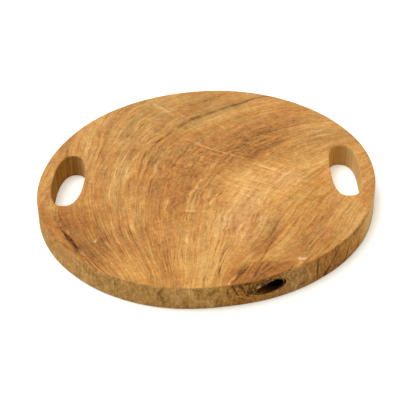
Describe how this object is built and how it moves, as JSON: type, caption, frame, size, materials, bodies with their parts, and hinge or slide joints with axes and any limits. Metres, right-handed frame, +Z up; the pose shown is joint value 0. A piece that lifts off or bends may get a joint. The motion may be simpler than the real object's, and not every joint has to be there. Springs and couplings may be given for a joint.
{
  "type": "serving board",
  "caption": "Round serving board sawn from a solid teak slab, with a hand slot through each side and a natural knot hole in the edge, for carrying and serving food.",
  "frame": {"origin": "on the underside, below the middle of the board's outline", "axes": "+Z up through the thickness, +X from the left hand slot to the right one, -Y towards the front edge with the knot"},
  "size_m": [0.3534, 0.35, 0.0265],
  "materials": {
    "teak": "sanded and lightly oiled",
    "knot_wood": "weathered, dark and rough",
    "bark": "dry and rough"
  },
  "bodies": {
    "root": {"teak_slab": "teak", "dead_knot": "knot_wood", "bark_pocket": "bark", "front_bark_seam": "bark"}
  },
  "joints": []
}
